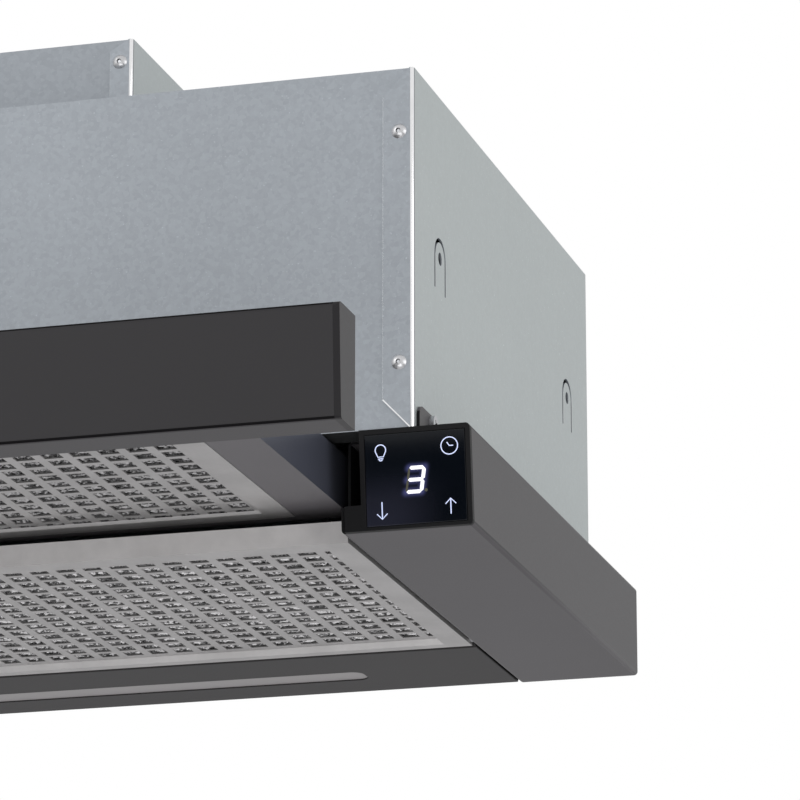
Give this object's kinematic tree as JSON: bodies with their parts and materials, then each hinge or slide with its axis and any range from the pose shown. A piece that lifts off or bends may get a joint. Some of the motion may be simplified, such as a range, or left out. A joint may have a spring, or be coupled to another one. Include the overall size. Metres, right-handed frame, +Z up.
{
  "type": "pull-out range hood",
  "caption": "Built-in telescopic cooker hood: galvanised casing with raised duct box, side arms with touch control, and a filter tray that slides out behind a fascia.",
  "frame": {"origin": "under the middle of the hood's bounding box with the tray drawn out, at the level of the fascia's lower edge", "axes": "+X to the right as seen from the front, +Y towards the wall, +Z up"},
  "size_m": [0.598, 0.4245, 0.2484],
  "materials": {
    "galvanised": "galvanised, mottled",
    "rivet_metal": "plain",
    "black_plastic": "fine texture",
    "plated_steel": "zinc plated",
    "grey_plastic": "plain",
    "anthracite": "satin",
    "end_cap_plastic": "satin",
    "black_glass": "polished",
    "ivory_plastic": "plain",
    "board_green": "solder mask",
    "diffuser": "frosted",
    "board_white": "plain",
    "white_plastic": "plain",
    "motor_metal": "cast housing",
    "filter_metal": "satin",
    "mesh_metal": "expanded mesh"
  },
  "bodies": {
    "casing": {"side_sheet_left": "galvanised", "side_sheet_right": "galvanised", "front_sheet": "galvanised", "rear_sheet": "galvanised", "top_sheet": "galvanised", "tower_side_left": "galvanised", "tower_side_right": "galvanised", "tower_front": "galvanised", "tower_top": "galvanised", "casing_rivets": "rivet_metal", "duct_collar": "black_plastic", "flap_axle": "plated_steel", "power_gland": "black_plastic", "control_unit": "grey_plastic", "arm_left": "anthracite", "arm_right": "anthracite", "arm_screws": "plated_steel", "control_cap": "black_plastic", "control_glass": "black_glass", "display_module": "ivory_plastic", "control_board": "board_green", "blank_cap": "black_plastic", "rear_bar": "anthracite", "light_diffuser": "diffuser", "led_board": "board_white", "lamp_housing": "white_plastic", "filter_keeper": "anthracite", "runner_carrier_left": "galvanised", "runner_carrier_right": "galvanised", "outer_rail_left": "plated_steel", "outer_rail_right": "plated_steel", "blower_housing_left": "white_plastic", "blower_housing_right": "white_plastic", "motor": "motor_metal", "motor_bracket": "plated_steel"},
    "fan": {"fan_wheel": "white_plastic", "fan_shaft": "plated_steel"},
    "flap_front": {"flap_front": "black_plastic"},
    "flap_rear": {"flap_rear": "black_plastic"},
    "middle_left": {"middle_rail_left": "plated_steel"},
    "middle_right": {"middle_rail_right": "plated_steel"},
    "tray": {"fascia_panel": "anthracite", "fascia_end_caps": "end_cap_plastic", "fascia_screws": "plated_steel", "tray_frame": "anthracite", "inner_rail_left": "plated_steel", "inner_rail_right": "plated_steel", "tray_filter_frame": "filter_metal", "tray_filter_sheet": "filter_metal", "tray_filter_mesh": "mesh_metal"},
    "filter": {"filter_frame": "filter_metal", "filter_sheet": "filter_metal", "filter_mesh": "mesh_metal", "filter_hinge_pins": "plated_steel", "filter_latch_cup": "black_plastic"},
    "latch": {"filter_latch": "black_plastic"}
  },
  "joints": [
    {"name": "tray_slide", "type": "slide", "parent": "casing", "child": "tray", "axis": [0, 1, 0], "range_m": [0, 0.1348]},
    {"name": "middle_left_slide", "type": "slide", "parent": "casing", "child": "middle_left", "axis": [0, 1, 0], "range_m": [0, 0.0674]},
    {"name": "middle_right_slide", "type": "slide", "parent": "casing", "child": "middle_right", "axis": [0, 1, 0], "range_m": [0, 0.0674]},
    {"name": "fan_spin", "type": "hinge", "parent": "casing", "child": "fan", "pos_m": [0, 0.0468, 0.13247], "axis": [1, 0, 0], "continuous": true},
    {"name": "filter_hinge", "type": "hinge", "parent": "casing", "child": "filter", "pos_m": [0, 0.1353, 0.005], "axis": [1, 0, 0], "range_deg": [0, 60]},
    {"name": "latch_slide", "type": "slide", "parent": "filter", "child": "latch", "axis": [0, 1, 0], "range_m": [0, 0.006], "stiffness_N_per_m": 250, "springref_m": -0.004},
    {"name": "flap_front_hinge", "type": "hinge", "parent": "casing", "child": "flap_front", "pos_m": [0, 0.0948, 0.2259], "axis": [-1, 0, 0], "range_deg": [0, 75]},
    {"name": "flap_rear_hinge", "type": "hinge", "parent": "casing", "child": "flap_rear", "pos_m": [0, 0.0948, 0.2259], "axis": [1, 0, 0], "range_deg": [0, 75]}
  ],
  "couplings": [
    {"joint": "middle_left_slide", "follows": "tray_slide", "ratio": 0.5},
    {"joint": "middle_right_slide", "follows": "tray_slide", "ratio": 0.5}
  ]
}
